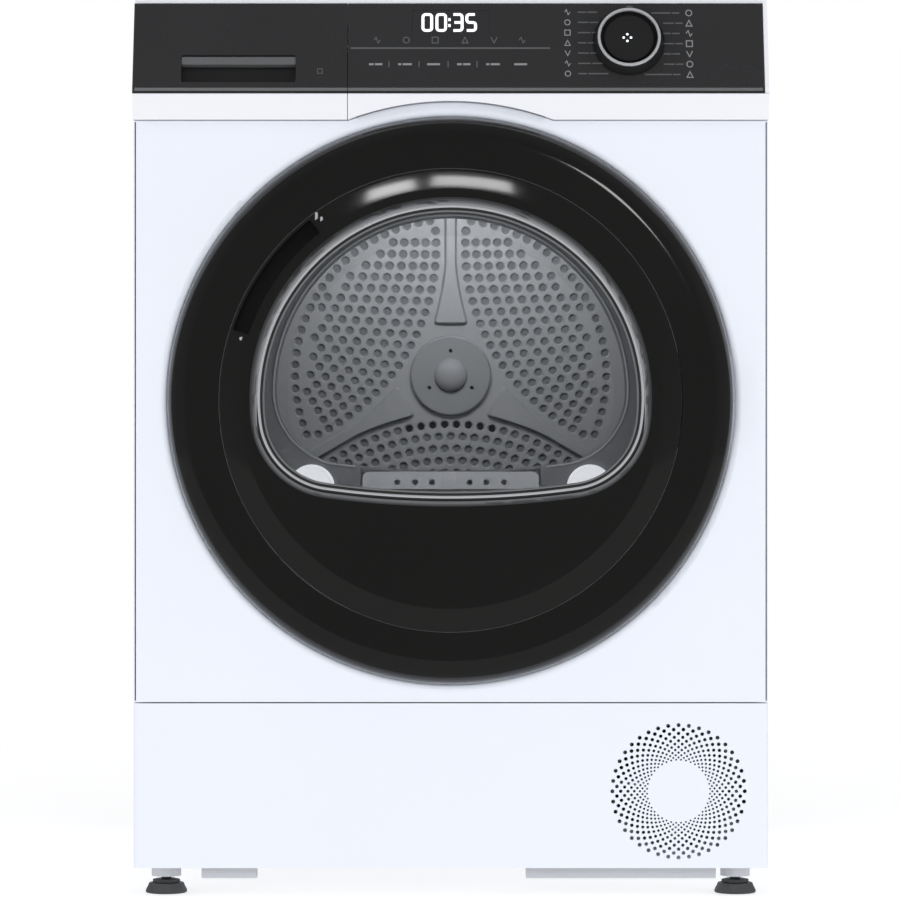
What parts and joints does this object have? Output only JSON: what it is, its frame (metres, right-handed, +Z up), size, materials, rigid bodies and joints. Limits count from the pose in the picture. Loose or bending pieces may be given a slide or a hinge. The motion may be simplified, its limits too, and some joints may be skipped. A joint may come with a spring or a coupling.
{
  "type": "clothes dryer",
  "caption": "Free-standing front-loading tumble dryer with a round door, D-shaped window, tank drawer, programme knob and fold-down plinth flap.",
  "frame": {"origin": "on the floor under the middle of the machine's overall box", "axes": "+Z up, the door faces -Y, +X to the right of someone facing the door"},
  "size_m": [0.595, 0.64, 0.845],
  "materials": {
    "base_plastic": "moulded",
    "cabinet_white": "satin enamel",
    "galvanised_steel": "galvanised",
    "rear_cover_plastic": "moulded",
    "worktop_white": "fine grained",
    "fascia_black": "piano black",
    "trim_white": "satin",
    "display_glass": "smoked",
    "circuit_board": "solder mask",
    "bulkhead_grey": "moulded",
    "felt": "felt",
    "bearing_plastic": "moulded",
    "inner_plastic": "moulded",
    "zinc": "die cast",
    "catch_plastic": "moulded",
    "fin_aluminium": "plain",
    "compressor_black": "gloss enamel",
    "copper": "drawn",
    "motor_steel": "plain",
    "pump_plastic": "moulded",
    "belt_rubber": "ribbed",
    "cover_white": "moulded",
    "socket_black": "moulded",
    "screw_zinc": "zinc",
    "door_black": "piano black",
    "trim_silver": "satin chrome",
    "window_glass": "clear",
    "door_rear_grey": "moulded",
    "seal_rubber": "matt",
    "drum_steel": "stainless",
    "lifter_plastic": "moulded",
    "knob_black": "satin",
    "handle_grey": "satin",
    "tank_plastic": "translucent",
    "filter_plastic": "moulded",
    "filter_mesh": "fine net",
    "plinth_white": "satin",
    "latch_blue": "moulded",
    "roller_plastic": "moulded",
    "rotor_steel": "machined",
    "fan_black": "moulded",
    "foot_black": "moulded"
  },
  "bodies": {
    "cabinet": {"base_tray": "base_plastic", "left_side_panel": "cabinet_white", "right_side_panel": "cabinet_white", "rear_panel": "galvanised_steel", "rear_duct_cover": "rear_cover_plastic", "worktop": "worktop_white", "front_panel": "cabinet_white", "control_panel": "fascia_black", "control_panel_trim": "trim_white", "display_window": "display_glass", "control_board": "circuit_board", "front_bulkhead": "bulkhead_grey", "drum_seal": "felt", "rear_bearing": "bearing_plastic", "tank_housing": "inner_plastic", "hinge_bracket": "zinc", "door_catch": "catch_plastic", "heat_exchanger_cover": "inner_plastic", "heat_exchangers": "fin_aluminium", "compressor": "compressor_black", "refrigerant_pipes": "copper", "motor_housing": "motor_steel", "condensate_pump": "pump_plastic", "drum_belt": "belt_rubber", "roller_covers": "cover_white", "mains_inlet": "socket_black", "cabinet_screws": "screw_zinc"},
    "door": {"door_ring": "door_black", "door_panel": "door_black", "window_trim": "trim_silver", "door_window": "window_glass", "door_inner_frame": "door_rear_grey", "door_seal": "seal_rubber", "hinge_block": "zinc", "door_strike": "zinc"},
    "drum": {"drum_shell": "drum_steel", "drum_rear_wall": "drum_steel", "drum_lifters": "lifter_plastic", "drum_hub": "drum_steel"},
    "programme_knob": {"knob_body": "knob_black", "knob_ring": "trim_silver"},
    "tank_drawer": {"drawer_front": "fascia_black", "drawer_trim": "trim_white", "drawer_handle": "handle_grey", "water_tank": "tank_plastic"},
    "lint_filter": {"lint_filter_frame": "filter_plastic", "lint_filter_mesh": "filter_mesh"},
    "plinth_flap": {"plinth_panel": "plinth_white"},
    "left_latch": {"latch_left": "latch_blue"},
    "right_latch": {"latch_right": "latch_blue"},
    "left_roller": {"roller_left": "roller_plastic"},
    "right_roller": {"roller_right": "roller_plastic"},
    "drive_rotor": {"motor_rotor": "rotor_steel"},
    "fan_rotor": {"cooling_fan": "fan_black"},
    "front_left_foot": {"foot_front_left": "foot_black"},
    "rear_left_foot": {"foot_rear_left": "foot_black"},
    "front_right_foot": {"foot_front_right": "foot_black"},
    "rear_right_foot": {"foot_rear_right": "foot_black"}
  },
  "joints": [
    {"name": "door_hinge", "type": "hinge", "parent": "cabinet", "child": "door", "pos_m": [0.246, -0.296, 0.466], "axis": [0, 0, 1], "range_deg": [0, 115]},
    {"name": "drum_spin", "type": "hinge", "parent": "cabinet", "child": "drum", "pos_m": [0, 0, 0.5], "axis": [0, 1, 0], "continuous": true},
    {"name": "knob_turn", "type": "hinge", "parent": "cabinet", "child": "programme_knob", "pos_m": [0.1667, -0.28621, 0.8016], "axis": [0, -0.9511, 0.309], "continuous": true},
    {"name": "drawer_slide", "type": "slide", "parent": "cabinet", "child": "tank_drawer", "axis": [0, -1, 0], "range_m": [0, 0.36]},
    {"name": "filter_slide", "type": "slide", "parent": "cabinet", "child": "lint_filter", "axis": [0, 0, 1], "range_m": [0, 0.16]},
    {"name": "plinth_hinge", "type": "hinge", "parent": "cabinet", "child": "plinth_flap", "pos_m": [0, -0.28, 0.035], "axis": [1, 0, 0], "range_deg": [0, 90]},
    {"name": "left_latch_turn", "type": "hinge", "parent": "cabinet", "child": "left_latch", "pos_m": [-0.24, -0.268, 0.112], "axis": [0, -1, 0], "range_deg": [0, 90]},
    {"name": "right_latch_turn", "type": "hinge", "parent": "cabinet", "child": "right_latch", "pos_m": [-0.086, -0.268, 0.112], "axis": [0, -1, 0], "range_deg": [-90, 0]},
    {"name": "left_roller_spin", "type": "hinge", "parent": "cabinet", "child": "left_roller", "pos_m": [-0.175, -0.16, 0.25], "axis": [0, 1, 0], "continuous": true},
    {"name": "right_roller_spin", "type": "hinge", "parent": "cabinet", "child": "right_roller", "pos_m": [0.175, -0.16, 0.25], "axis": [0, 1, 0], "continuous": true},
    {"name": "motor_spin", "type": "hinge", "parent": "cabinet", "child": "drive_rotor", "pos_m": [0.04, 0.15, 0.116], "axis": [0, 1, 0], "continuous": true},
    {"name": "cooling_fan_spin", "type": "hinge", "parent": "cabinet", "child": "fan_rotor", "pos_m": [0.2135, -0.22, 0.1], "axis": [0, 1, 0], "continuous": true},
    {"name": "front_left_foot_height", "type": "slide", "parent": "cabinet", "child": "front_left_foot", "axis": [0, 0, -1], "range_m": [0, 0.012]},
    {"name": "rear_left_foot_height", "type": "slide", "parent": "cabinet", "child": "rear_left_foot", "axis": [0, 0, -1], "range_m": [0, 0.012]},
    {"name": "front_right_foot_height", "type": "slide", "parent": "cabinet", "child": "front_right_foot", "axis": [0, 0, -1], "range_m": [0, 0.012]},
    {"name": "rear_right_foot_height", "type": "slide", "parent": "cabinet", "child": "rear_right_foot", "axis": [0, 0, -1], "range_m": [0, 0.012]}
  ],
  "couplings": [
    {"joint": "left_roller_spin", "follows": "drum_spin", "ratio": -11.194},
    {"joint": "right_roller_spin", "follows": "drum_spin", "ratio": -11.194},
    {"joint": "motor_spin", "follows": "drum_spin", "ratio": 28}
  ]
}
